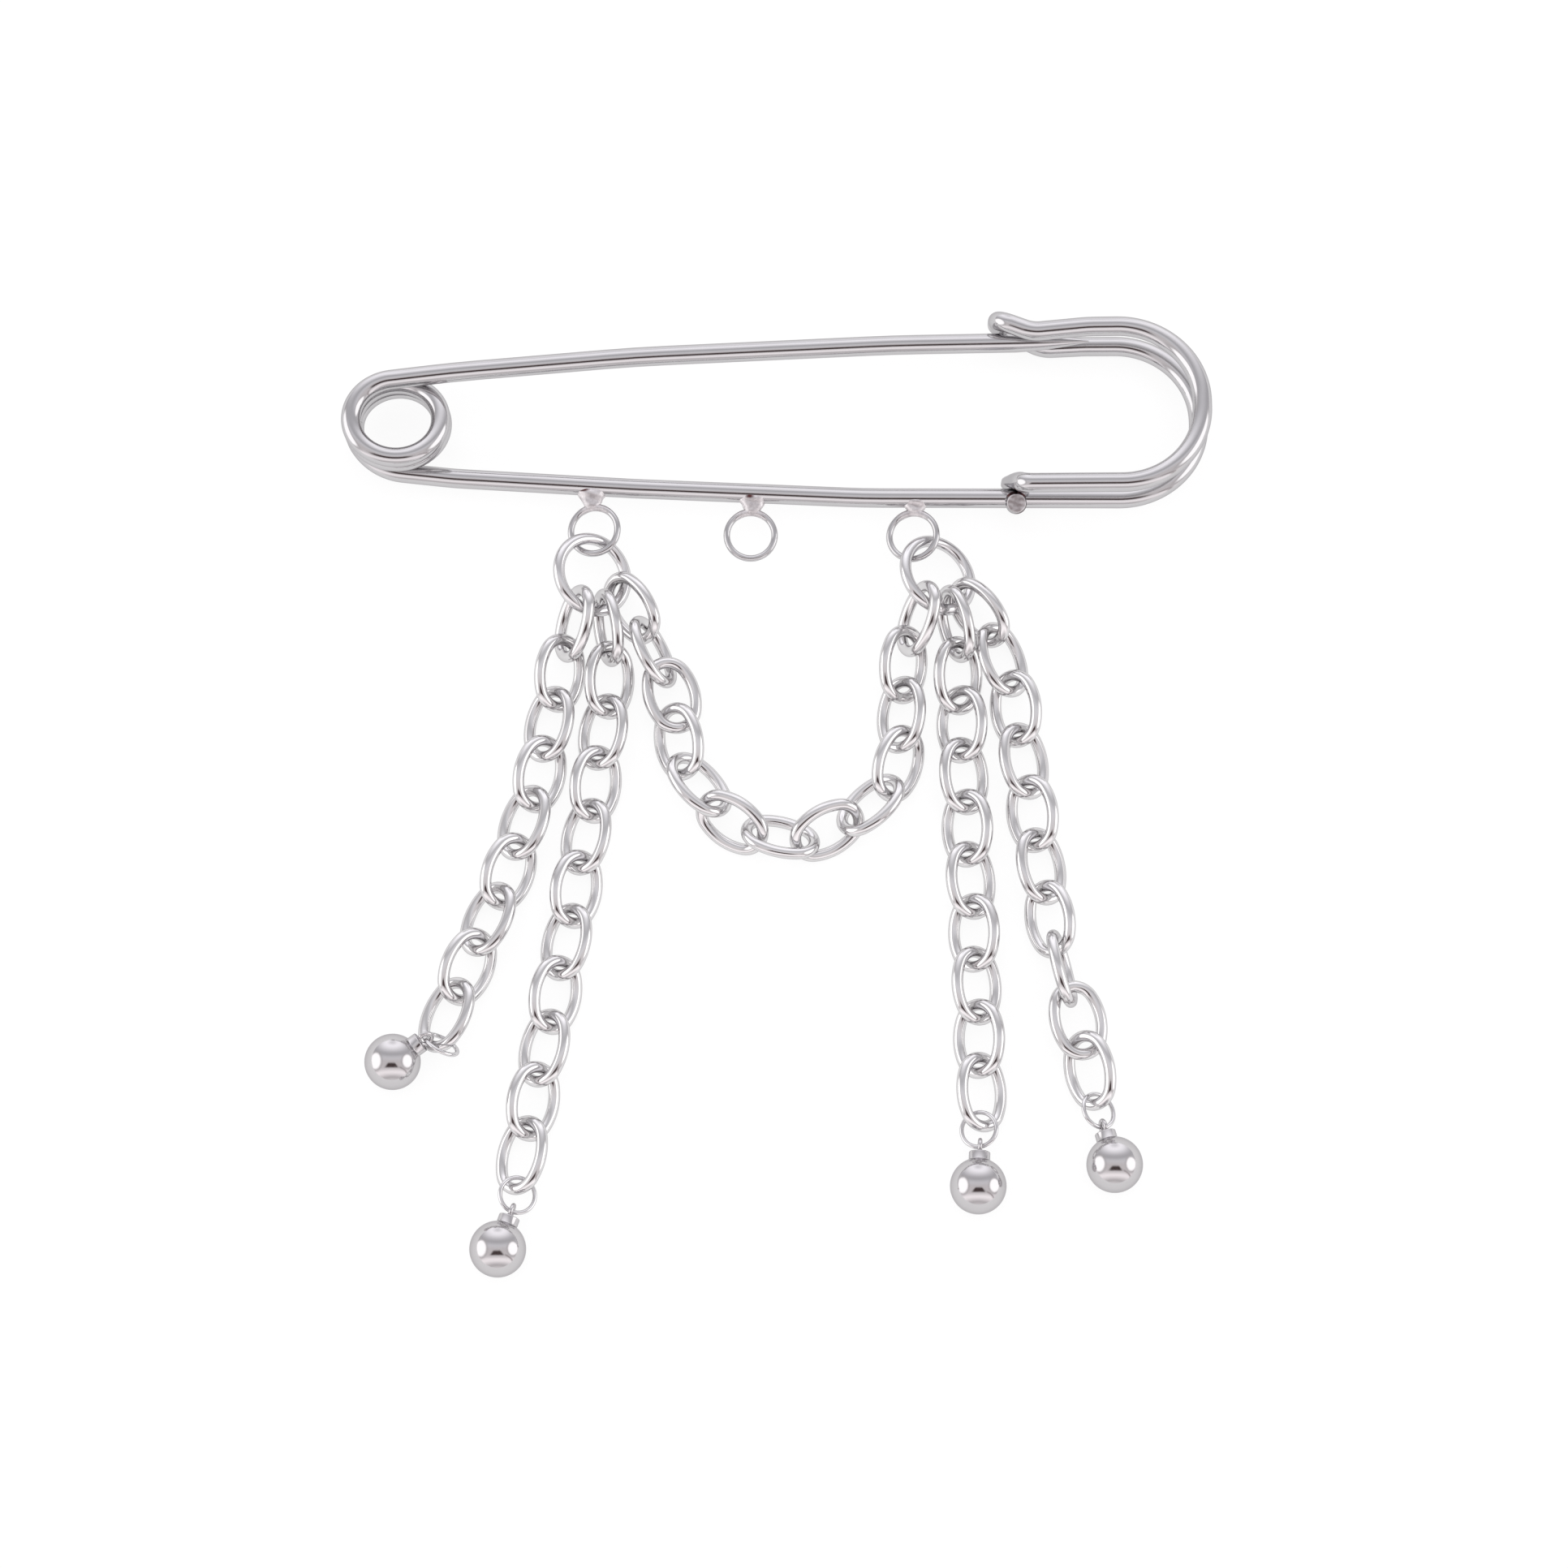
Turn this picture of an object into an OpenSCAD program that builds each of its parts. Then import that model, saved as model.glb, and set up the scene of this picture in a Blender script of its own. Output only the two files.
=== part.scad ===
// Charm brooch: a coiled wire safety pin with five hanging chain runs and four ball drops.
// It lies on its back as it would on a table, so +Z is up and the floor is Z = 0.
// +X runs along the pin from the coil to the catch, +Y from the balls to the pin.
// The origin is the middle of the footprint. Lengths are millimetres, angles are degrees.

/* [Pin] */
// Overall length of the pin, coil to catch
pin_len = 60; // [59:0.5:62]
// Diameter of the pin wire
pin_wire = 1.35; // [1.2:0.05:1.4]
// Width of the spring coil between wire centres, along the pin
coil_w = 6.14; // [5.6:0.02:6.4]
// Height of the spring coil between wire centres, across the pin
coil_h = 5.72; // [5.5:0.02:5.9]
// Rise of the coil for each turn
coil_rise = 1.5; // [1.46:0.01:1.6]
// Sideways shift of the coil for each turn, away from the bar
coil_shift = 0.33; // [0.2:0.01:0.4]
// Height of the catch between its bottom and top wire centres
catch_h = 11.66; // [11.5:0.02:11.8]
// Depth of the catch between its back and front wire centres
catch_depth = 3.4; // [3.3:0.05:3.6]
// Lean of the pin's plane, arm side down, as it rests on its wrapped end and its hook
pin_lean = 6.6; // [6:0.1:7]
// Length of the tapered point
point_len = 5; // [3:0.5:7]

/* [Solder loops] */
// Outer diameter of the three loops under the bar
loop_d = 3.75; // [3.5:0.05:4]
// Wire diameter of the three loops
loop_wire = 0.45; // [0.4:0.05:0.5]

/* [Rings] */
// Outer diameter of the two jump rings
jump_d = 6; // [5.9:0.05:6.1]
// Wire diameter of the two jump rings
jump_wire = 0.8; // [0.7:0.05:0.8]
// Outer diameter of the small rings above the balls
end_ring_d = 2.7; // [2.6:0.05:2.8]
// Wire diameter of the small rings and the eyes of the balls
fine_wire = 0.3; // [0.25:0.01:0.3]

/* [Chain links] */
// Outer length of a chain link
link_l = 5.5; // [5.45:0.05:5.6]
// Outer width of a chain link
link_w = 4; // [3.95:0.05:4.1]
// Wire diameter of a chain link
link_wire = 0.8; // [0.7:0.05:0.8]
// Lean of each link to one side and then the other
link_roll = 34; // [33:1:36]
// The same lean in the swag, whose run bends more
swag_roll = 38; // [37:1:40]

/* [Balls] */
// Diameter of the ball drops
ball_d = 3.8; // [3.6:0.05:3.9]
// Diameter of the collar between each ball and its eye
collar_d = 1.44; // [1.3:0.02:1.5]
// Outer diameter of the wire eye on each ball
eye_d = 1.2; // [1.2:0.02:1.26]

/* [Hidden] */
$fn = 48;

// Fineness of the swept wires, in sides round the wire and degrees round a bend
wire_sides = 16;
arc_step = 11.25;
coil_step = 11;

// Half way in Y between the lowest ball and the hook, which is moved to the origin
mid_y = 0.28;

// Place of the pin's own frame, whose X and Y lie in the plane of the lower bar and back catch.
// The lean brings the lowest side of the wrap down by wrap_dip, so the bar lies that much higher.
bar_y = 21;
wrap_gap = 0.06;
wrap_r = pin_wire + wrap_gap;
wire_r = pin_wire / 2;
wrap_dip = 0.01;
bar_z = wrap_r + wire_r + wrap_dip;

// Coil: its centre where the arm leaves, the angle there, the angle where the wire is divided
// between the two bodies, the angle where the bar leaves, and the coil's height there. Angles run
// on over the turns.
coil_x = -pin_len / 2 + wire_r + coil_w / 2;
coil_y = 4.08;
coil_arm_angle = 98;
coil_split_angle = 540;
coil_split_gap = 4;
coil_bar_angle = 930;
coil_foot = 0.25;

// Catch: the right end of the U, the heights of its two straight runs, the straight run left between
// its corners, the height of the lower run in front, and the radius of its corners
catch_right = pin_len / 2 - wire_r;
catch_bottom = -0.42;
catch_top = catch_bottom + catch_h;
catch_run = 0.3;
front_bottom = -0.62;
catch_bend = (catch_h - catch_run) / 2;
hook_y = 11.66;
hook_back_y = 12.7;
hook_bend = 1.1;

// Wrapped end: its place along the bar, its shift along the bar as it passes behind, the height of
// the bar there, the depth where it starts to pass the bar, and the place of its end behind the bar
wrap_x = 16.75;
wrap_shift = 0.25;
wrap_y = -0.385;
wrap_start_z = 0.5;
wrap_end_y = -0.4;

// Cut end of wire that stands out of the bar's front at the wrap: its place, lean and length
stub_y = -0.83;
stub_lean = 20.6;
stub_len = 1.5;

// Routes of wire centres in the pin's frame. Columns: x, y, z, bend radius.
bar_route = [
    [-27.83, 1.72, 0.08, 4.1],
    [-22.3, 1.12, 0, 30],
    [-9.8, 0.35, 0, 60],
    [6, -0.35, 0, 60],
    [catch_right, catch_bottom, 0, catch_bend],
    [catch_right, catch_top, 0, catch_bend],
    [21.5, 11.2, 0, 10],
    [18.6, 11.04, 0, 2.5],
    [15.4, hook_back_y, 0, hook_bend],
    [15.33, hook_y, catch_depth, hook_bend],
    [17.7, 10.72, catch_depth, 2.5],
    [21.5, 11.12, catch_depth, 10],
    [catch_right, catch_top, catch_depth, catch_bend],
    [catch_right, front_bottom, catch_depth, catch_bend],
    [wrap_x, front_bottom - 0.1, catch_depth, 0.9],
    [wrap_x, wrap_y + wrap_r, wrap_start_z, 1.2],
    [wrap_x, wrap_y + wrap_r, -wrap_r, 0.9],
    [wrap_x - wrap_shift, wrap_end_y, -wrap_r, 0]
];
arm_tip = [21.7, 10.75, 1.8];
arm_route = [
    [-22.3, 7.42, 3.85, 40],
    [-9.8, 8.9, 3.17, 90],
    [8, 10.2, 2.35, 120],
    [16, 10.6, 1.85, 15],
    [arm_tip[0], arm_tip[1], arm_tip[2], 0]
];
// Taper of the point. Columns: share of the point's length from its end, share of the wire radius.
point_shape = [
    [1, 1],
    [0.7, 0.88],
    [0.4, 0.6],
    [0.15, 0.3],
    [0, 0.08]
];

// Solder loops under the bar. Columns: x, y, z of the middle, twist, height of the bar above, and
// how far the solder sits to the right of the middle.
loop_rows = [
    [-12.6, -2.7, -0.25, 12, 0.47, -0.17],
    [-1.8, -3.05, -0.29, 0, 0, 0.14],
    [9.4, -3.08, -0.29, 12, -0.36, 0.17]
];
// Solder between the bar and a loop. Columns: share of the way from the bar's middle to the
// loop's wire, half width along the bar, half depth.
solder_shape = [
    [0, 1.2, 0.4],
    [0.2, 1.15, 0.55],
    [0.38, 1, 0.6],
    [0.58, 0.8, 0.46],
    [0.8, 0.66, 0.36],
    [1, 0.5, 0.3],
    [1.1, 0.3, 0.18]
];

// Link outline: two end arcs and two side arcs that meet without a corner
end_r = 1.4;
half_l = (link_l - link_wire) / 2;
half_w = (link_w - link_wire) / 2;
end_x = half_l - end_r;
side_r = (end_x * end_x + half_w * half_w - end_r * end_r) / (2 * (half_w - end_r));
side_y = side_r - half_w;

// Lying pieces are placed by rows. Columns: x, y, z of the middle, then the direction of the
// length seen from above, the rise of its far end, and the roll about it.
jump_left = [-12.7, 15.1, 2.2, -92, 4, -30];
jump_right = [11.1, 15.1, 2.05, -62, -4, -32];

// Chain runs: single links near the rings, a route in x and y that evenly spaced links follow, and
// how many links follow it
outer_left_start = [
    [-13.9, 11.65, 2.05, -106, -19, 53],
    [-14.9, 8.3, 1.4, -97, -5, -36]
];
outer_left_route = [[-15.6, 4.7], [-16.2, 1.2], [-18.3, -5.8], [-22.3, -15.6]];
outer_left_links = 7;
inner_left_start = [
    [-11.6, 11.4, 1.9, -80, -3, 68],
    [-11.5, 7.8, 1.4, -94, -3, -36]
];
inner_left_route = [[-11.9, 4.15], [-12.4, 0.3], [-14.3, -10.8], [-17.1, -25.2]];
inner_left_links = 9;
swag_start = [
    [-10, 12.9, 1.55, -57, 4, 45],
    [-8.5, 9.7, 1.8, -65, -5, -60],
    [-7.2, 6.7, 1.5, -74, -3, -10],
    [-6.7, 3.45, 1.4, -78, 1, 37]
];
swag_route = [[-5.3, 0.4], [-2.9, -2.4], [1.8, -3.7], [6.3, -1.2], [8.3, 1.8], [8.55, 5.35]];
swag_links = 7;
swag_end = [
    [8.7, 8.9, 1.45, 84, 6, 38],
    [9.75, 11.95, 2.25, 68, 25, -52]
];
inner_right_start = [
    [12.3, 11.65, 2, -76, -6, 64],
    [12.45, 8.1, 1.45, -92, -5, -35]
];
inner_right_route = [[12.7, 4.7], [12.8, 1.1], [13.4, -10], [13.8, -20.9]];
inner_right_links = 8;
outer_right_start = [
    [13.9, 12.55, 1.65, -51, 2, 50],
    [15.5, 9.25, 1.4, -72, -3, -37]
];
outer_right_route = [[16.4, 5.8], [16.9, 2.1], [18, -5.3]];
outer_right_links = 4;
outer_right_end = [
    [18.55, -9, 1.45, -79, 5, 39],
    [19.3, -12.55, 1.95, -77, 0, -75],
    [20.35, -16.05, 1.6, -78, -3, -12],
    [21.1, -19.45, 1.45, -78, -2, 39]
];

// Small rings and balls, in the same columns; a ball's direction points from it to its ring
end_ring_rows = [
    [-22.6, -17.75, 1.85, -31, -2, -61],
    [-17.35, -27.95, 1.5, -96, 5, -17],
    [13.6, -23.5, 1.5, -90, 7, 16],
    [21.65, -22.2, 1.4, -74, 5, -33]
];
ball_rows = [
    [-25.85, -18.95, ball_d / 2, 34, 10, 55],
    [-18.6, -31.65, ball_d / 2, 71, -5, 88],
    [13.5, -27.4, ball_d / 2, 87, -5, -90],
    [22.65, -25.95, ball_d / 2, 105, -8, 106]
];
// How far the collar's top and the eye's middle are from the ball's middle
collar_top = ball_d / 2 + 0.45;
eye_reach = ball_d / 2 + 0.82;

function unit(v) = v / norm(v);
function place_of(row) = [row[0], row[1], row[2]];

// Points along a corner at b between a and c, rounded to radius r
function corner(a, b, c, r) =
    let(
        u = unit(a - b),
        v = unit(c - b),
        half = acos(u * v) / 2,
        turn = 180 - 2 * half,
        cut = r / tan(half),
        centre = b + unit(u + v) * r / sin(half),
        e1 = unit(b + u * cut - centre),
        e2 = unit(-u - (-u * e1) * e1),
        n = max(1, ceil(turn / arc_step))
    )
    [for (k = [0:n]) centre + r * (cos(turn * k / n) * e1 + sin(turn * k / n) * e2)];

// All points of a route after a start point: rounded corners, then the last row's place
function rounded(start, rows) =
    let(
        p = concat([start], [for (row = rows) place_of(row)]),
        last = len(p) - 1
    )
    concat(
        [for (i = [1:last - 1]) each corner(p[i - 1], p[i], p[i + 1], rows[i - 1][3])],
        [p[last]]
    );

// Centre of the coil wire at a running angle
function coil_point(a) = [
    coil_x + coil_w / 2 * cos(a),
    coil_y + coil_shift * (a - coil_arm_angle) / 360 + coil_h / 2 * sin(a),
    coil_foot + coil_rise * (coil_bar_angle - a) / 360
];

// Directions along a line of points
function headings(p) = [
    for (i = [0:len(p) - 1]) unit(p[min(i + 1, len(p) - 1)] - p[max(i - 1, 0)])
];

// Cross directions carried along the line without twist
function carried(t, first) = [
    for (
        i = 0, n = unit(first - (first * t[0]) * t[0]);
        i < len(t);
        i = i + 1, n = i < len(t) ? unit(n - (n * t[i]) * t[i]) : n
    ) n
];

// Length of the first legs of a route
function route_length(route, legs) =
    legs == 0 ? 0 : norm(route[legs] - route[legs - 1]) + route_length(route, legs - 1);

// Point of a route at a distance from its start
function route_point(route, s, leg = 1) =
    let(d = norm(route[leg] - route[leg - 1]))
    s <= d || leg == len(route) - 1
        ? route[leg - 1] + (route[leg] - route[leg - 1]) * s / d
        : route_point(route, s - d, leg + 1);

// Rows of evenly spaced links along a route, rolled to one side and then the other
function even_links(route, count, roll) =
    let(
        total = route_length(route, len(route) - 1),
        step = total / (count - 1)
    )
    [
        for (i = [0:count - 1])
            let(
                c = route_point(route, i * step),
                a = route_point(route, max(0, (i - 0.5) * step)),
                b = route_point(route, min(total, (i + 0.5) * step)),
                turn = i % 2 == 0 ? roll : -roll
            )
            [c[0], c[1], half_w * sin(abs(roll)) + link_wire / 2, atan2(b[1] - a[1], b[0] - a[0]), 0, turn]
    ];

// Round wire along a line of points, with a radius for each point
module wire(points, radii, first) {
    t = headings(points);
    n = carried(t, first);
    rings = len(points);
    sides = wire_sides;
    skin = [
        for (i = [0:rings - 1], k = [0:sides - 1])
            let(a = 360 * k / sides, b = cross(t[i], n[i]))
            points[i] + radii[i] * (cos(a) * n[i] + sin(a) * b)
    ];
    walls = [
        for (i = [0:rings - 2], k = [0:sides - 1])
            let(m = (k + 1) % sides)
            [i * sides + k, (i + 1) * sides + k, (i + 1) * sides + m, i * sides + m]
    ];
    start_cap = [[for (k = [0:sides - 1]) k]];
    end_cap = [[for (k = [0:sides - 1]) rings * sides - 1 - k]];
    polyhedron(skin, concat(walls, start_cap, end_cap));
}

// Moves a child from the pin's frame to where the pin lies
module lay_pin() {
    translate([0, bar_y - mid_y, bar_z])
        rotate([-pin_lean, 0, 0])
            children();
}

// Lays a child by a row of the tables above
module lay(row) {
    translate([row[0], row[1] - mid_y, row[2]])
        rotate([0, 0, row[3]])
            rotate([0, -row[4], 0])
                rotate([row[5], 0, 0])
                    children();
}

module ring(outer, thick) {
    rotate_extrude()
        translate([(outer - thick) / 2, 0])
            circle(d = thick);
}

// Part of a ring of wire with radius r about the point c, between two lines from that point
module bow(c, r, side_a, side_b) {
    intersection() {
        translate([c[0], c[1], 0])
            rotate_extrude()
                translate([r, 0])
                    circle(d = link_wire);
        linear_extrude(height = 2 * link_wire, center = true)
            polygon([c, c + side_a, c + side_b]);
    }
}

module link() {
    e = [end_x, 0];
    s = [0, side_y];
    end_reach = 2;
    side_reach = 2.2;
    bow(e, end_r, end_reach * (e - s), end_reach * (e + s));
    bow(-e, end_r, end_reach * (s - e), end_reach * (-e - s));
    bow(-s, side_r, side_reach * (e + s), side_reach * (s - e));
    bow(s, side_r, side_reach * (-e - s), side_reach * (e - s));
}

module chain(rows) {
    for (row = rows)
        lay(row)
            link();
}

// Solder between the bar and a loop, with oval sections across the way down
module solder(height) {
    sides = 24;
    rows = len(solder_shape);
    skin = [
        for (row = solder_shape, k = [0:sides - 1])
            let(a = 360 * k / sides)
            [row[1] * cos(a), -row[0] * height, row[2] * sin(a)]
    ];
    walls = [
        for (i = [0:rows - 2], k = [0:sides - 1])
            let(m = (k + 1) % sides)
            [i * sides + k, (i + 1) * sides + k, (i + 1) * sides + m, i * sides + m]
    ];
    start_cap = [[for (k = [0:sides - 1]) k]];
    end_cap = [[for (k = [0:sides - 1]) rows * sides - 1 - k]];
    polyhedron(skin, concat(walls, start_cap, end_cap));
}

module solder_loops() {
    for (row = loop_rows) {
        translate([row[0], row[1], row[2]])
            rotate([pin_lean, 0, 0])
                rotate([0, -row[3], 0])
                    ring(loop_d, loop_wire);
        translate([row[0] + row[5], row[4], 0])
            solder(row[4] - row[1] - (loop_d - loop_wire) / 2);
    }
}

module frame() {
    turns = [
        for (a = [coil_split_angle + coil_split_gap / 2:coil_step:coil_bar_angle]) coil_point(a)
    ];
    line = concat(turns, rounded(turns[len(turns) - 1], bar_route));
    color("silver")
        lay_pin() {
            wire(line, [for (p = line) wire_r], [0, 0, 1]);
            translate([wrap_x - wrap_shift, stub_y, 0])
                rotate([stub_lean, 0, 0])
                    cylinder(d = pin_wire, h = stub_len);
            solder_loops();
        }
}

module pin_arm() {
    turns = [
        for (a = [coil_split_angle - coil_split_gap / 2:-coil_step:coil_arm_angle]) coil_point(a)
    ];
    run = rounded(turns[len(turns) - 1], arm_route);
    body = [for (i = [0:len(run) - 2]) run[i]];
    back = unit(place_of(arm_route[3]) - arm_tip);
    point = [for (row = point_shape) arm_tip + back * point_len * row[0]];
    radii = concat(
        [for (p = turns) wire_r],
        [for (p = body) wire_r],
        [for (row = point_shape) wire_r * row[1]]
    );
    color("gainsboro")
        lay_pin()
            wire(concat(turns, body, point), radii, [0, 0, 1]);
}

module jump_ring_left() {
    color("silver")
        lay(jump_left)
            ring(jump_d, jump_wire);
}

module jump_ring_right() {
    color("silver")
        lay(jump_right)
            ring(jump_d, jump_wire);
}

module chain_outer_left() {
    color("gainsboro")
        chain(concat(outer_left_start, even_links(outer_left_route, outer_left_links, link_roll)));
}

module chain_inner_left() {
    color("gainsboro")
        chain(concat(inner_left_start, even_links(inner_left_route, inner_left_links, link_roll)));
}

module chain_swag() {
    color("gainsboro")
        chain(concat(swag_start, even_links(swag_route, swag_links, -swag_roll), swag_end));
}

module chain_inner_right() {
    color("gainsboro")
        chain(concat(inner_right_start, even_links(inner_right_route, inner_right_links, link_roll)));
}

module chain_outer_right() {
    color("gainsboro")
        chain(
            concat(
                outer_right_start,
                even_links(outer_right_route, outer_right_links, link_roll),
                outer_right_end
            )
        );
}

module end_ring(row) {
    color("silver")
        lay(row)
            ring(end_ring_d, fine_wire);
}

module end_ring_outer_left() {
    end_ring(end_ring_rows[0]);
}

module end_ring_inner_left() {
    end_ring(end_ring_rows[1]);
}

module end_ring_inner_right() {
    end_ring(end_ring_rows[2]);
}

module end_ring_outer_right() {
    end_ring(end_ring_rows[3]);
}

module ball(row) {
    color("lightgray")
        lay(row) {
            rotate([0, 0, 180])
                sphere(d = ball_d);
            rotate([0, 90, 0])
                cylinder(d = collar_d, h = collar_top);
            translate([eye_reach, 0, 0])
                ring(eye_d, fine_wire);
        }
}

module ball_outer_left() {
    ball(ball_rows[0]);
}

module ball_inner_left() {
    ball(ball_rows[1]);
}

module ball_inner_right() {
    ball(ball_rows[2]);
}

module ball_outer_right() {
    ball(ball_rows[3]);
}

frame();
pin_arm();
jump_ring_left();
jump_ring_right();
chain_outer_left();
chain_inner_left();
chain_swag();
chain_inner_right();
chain_outer_right();
end_ring_outer_left();
end_ring_inner_left();
end_ring_inner_right();
end_ring_outer_right();
ball_outer_left();
ball_inner_left();
ball_inner_right();
ball_outer_right();
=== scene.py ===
import math

import bpy
import numpy as np
from mathutils import Matrix, Vector


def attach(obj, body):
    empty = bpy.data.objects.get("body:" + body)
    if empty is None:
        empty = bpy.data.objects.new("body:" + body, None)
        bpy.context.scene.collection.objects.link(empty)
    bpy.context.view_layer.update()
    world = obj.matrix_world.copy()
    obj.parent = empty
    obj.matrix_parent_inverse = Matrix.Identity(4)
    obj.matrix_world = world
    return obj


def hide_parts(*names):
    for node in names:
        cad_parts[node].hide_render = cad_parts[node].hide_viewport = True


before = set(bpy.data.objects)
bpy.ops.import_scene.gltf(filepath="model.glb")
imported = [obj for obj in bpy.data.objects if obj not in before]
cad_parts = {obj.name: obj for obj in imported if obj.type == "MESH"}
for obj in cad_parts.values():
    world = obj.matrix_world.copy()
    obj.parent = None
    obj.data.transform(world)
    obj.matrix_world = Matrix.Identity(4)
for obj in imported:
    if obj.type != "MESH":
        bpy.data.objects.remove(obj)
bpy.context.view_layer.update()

MM = 0.001

# Camera: the photo's width and its focal length in pixels, height over the table in degrees,
# distance in metres, and the point that it looks at in millimetres
PHOTO_WIDE, PHOTO_FOCAL = 1932, 6285
CAMERA_LIFT, CAMERA_FAR, CAMERA_AIM = 76, 0.35, (0.5, 0.8)

# Fineness. Sides round the wire of the pin, the jump rings, the links, the pin's loops, and the
# small rings and eyes; sides round the cut end, the solder and the balls
PIN_SIDES, RING_SIDES, LINK_SIDES, LOOP_SIDES, FINE_SIDES = 48, 36, 28, 28, 24
CUT_SIDES, SOLDER_SIDES, BALL_SIDES = 64, 64, 96
# Points along round wires: the jump rings, the small rings and loops, and the eyes; along a link's
# end and side; rows along the solder, the arm's point, the ball and its collar's rim
JUMP_POINTS, RING_POINTS, EYE_POINTS, END_POINTS, SIDE_POINTS = 144, 96, 64, 26, 24
SOLDER_STEPS, POINT_STEPS, BALL_STEPS, RIM_STEPS = 41, 33, 90, 5
# Degrees for each leg of a turn and of a corner, the longest leg, and the longest at the wrap
TURN_STEP, CORNER_STEP, LONGEST_LEG, CRIMP_LEG = 3.25, 3.0, 0.8, 0.15

# Sizes and rows below are the part's own, in millimetres and degrees.
PIN_LEN, PIN_WIRE = 60, 1.35
COIL_W, COIL_H, COIL_RISE, COIL_SHIFT = 6.14, 5.72, 1.5, 0.33
CATCH_H, CATCH_DEPTH, CATCH_RUN = 11.66, 3.4, 0.3
PIN_LEAN, POINT_LEN = 6.6, 5
LOOP_D, LOOP_WIRE = 3.75, 0.45
JUMP_D, JUMP_WIRE = 6, 0.8
END_RING_D, FINE_WIRE = 2.7, 0.3
LINK_L, LINK_W, LINK_WIRE, LINK_ROLL, SWAG_ROLL = 5.5, 4, 0.8, 34, 38
BALL_D, COLLAR_D, EYE_D = 3.8, 1.44, 1.2
MID_Y, BAR_Y, WRAP_GAP, WRAP_DIP = 0.28, 21, 0.06, 0.01

WIRE_R = PIN_WIRE / 2
WRAP_R = PIN_WIRE + WRAP_GAP
BAR_Z = WRAP_R + WIRE_R + WRAP_DIP
COIL_X, COIL_Y, COIL_FOOT = -PIN_LEN / 2 + WIRE_R + COIL_W / 2, 4.08, 0.25
ARM_ANGLE, SPLIT_ANGLE, BAR_ANGLE = 98, 540, 930
CATCH_RIGHT, CATCH_BOTTOM, FRONT_BOTTOM = PIN_LEN / 2 - WIRE_R, -0.42, -0.62
CATCH_TOP, CATCH_BEND = CATCH_BOTTOM + CATCH_H, (CATCH_H - CATCH_RUN) / 2
HOOK_Y, HOOK_BACK_Y, HOOK_BEND = 11.66, 12.7, 1.1
WRAP_X, WRAP_SHIFT, WRAP_Y, WRAP_START_Z, WRAP_END_Y = 16.75, 0.25, -0.385, 0.5, -0.4
STUB_Y, STUB_LEAN, STUB_LEN = -0.83, 20.6, 1.5
ARM_TIP = (21.7, 10.75, 1.8)

# Routes of wire centres in the pin's frame: x, y, z, bend radius
BAR_ROUTE = [
    (-27.83, 1.72, 0.08, 4.1),
    (-22.3, 1.12, 0, 30),
    (-9.8, 0.35, 0, 60),
    (6, -0.35, 0, 60),
    (CATCH_RIGHT, CATCH_BOTTOM, 0, CATCH_BEND),
    (CATCH_RIGHT, CATCH_TOP, 0, CATCH_BEND),
    (21.5, 11.2, 0, 10),
    (18.6, 11.04, 0, 2.5),
    (15.4, HOOK_BACK_Y, 0, HOOK_BEND),
    (15.33, HOOK_Y, CATCH_DEPTH, HOOK_BEND),
    (17.7, 10.72, CATCH_DEPTH, 2.5),
    (21.5, 11.12, CATCH_DEPTH, 10),
    (CATCH_RIGHT, CATCH_TOP, CATCH_DEPTH, CATCH_BEND),
    (CATCH_RIGHT, FRONT_BOTTOM, CATCH_DEPTH, CATCH_BEND),
    (WRAP_X, FRONT_BOTTOM - 0.1, CATCH_DEPTH, 0.9),
    (WRAP_X, WRAP_Y + WRAP_R, WRAP_START_Z, 1.2),
    (WRAP_X, WRAP_Y + WRAP_R, -WRAP_R, 0.9),
    (WRAP_X - WRAP_SHIFT, WRAP_END_Y, -WRAP_R, 0),
]
ARM_ROUTE = [
    (-22.3, 7.42, 3.85, 40),
    (-9.8, 8.9, 3.17, 90),
    (8, 10.2, 2.35, 120),
    (16, 10.6, 1.85, 15),
    (*ARM_TIP, 0),
]
# Distance from the tip as a share of the point's length, share of the wire radius
POINT_SHAPE = [(1, 1), (0.7, 0.88), (0.4, 0.6), (0.15, 0.3), (0, 0.08)]
# Middle of each loop: x, y, z; its twist; the bar's y there, and the solder's shift along the bar
LOOP_ROWS = [
    (-12.6, -2.7, -0.25, 12, 0.47, -0.17),
    (-1.8, -3.05, -0.29, 0, 0, 0.14),
    (9.4, -3.08, -0.29, 12, -0.36, 0.17),
]
# Share of the way from the bar's middle down to the loop's wire, half width, half depth
SOLDER_SHAPE = [
    (0, 1.2, 0.4),
    (0.2, 1.15, 0.55),
    (0.38, 1, 0.6),
    (0.58, 0.8, 0.46),
    (0.8, 0.66, 0.36),
    (1, 0.5, 0.3),
    (1.1, 0.3, 0.18),
]

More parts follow.
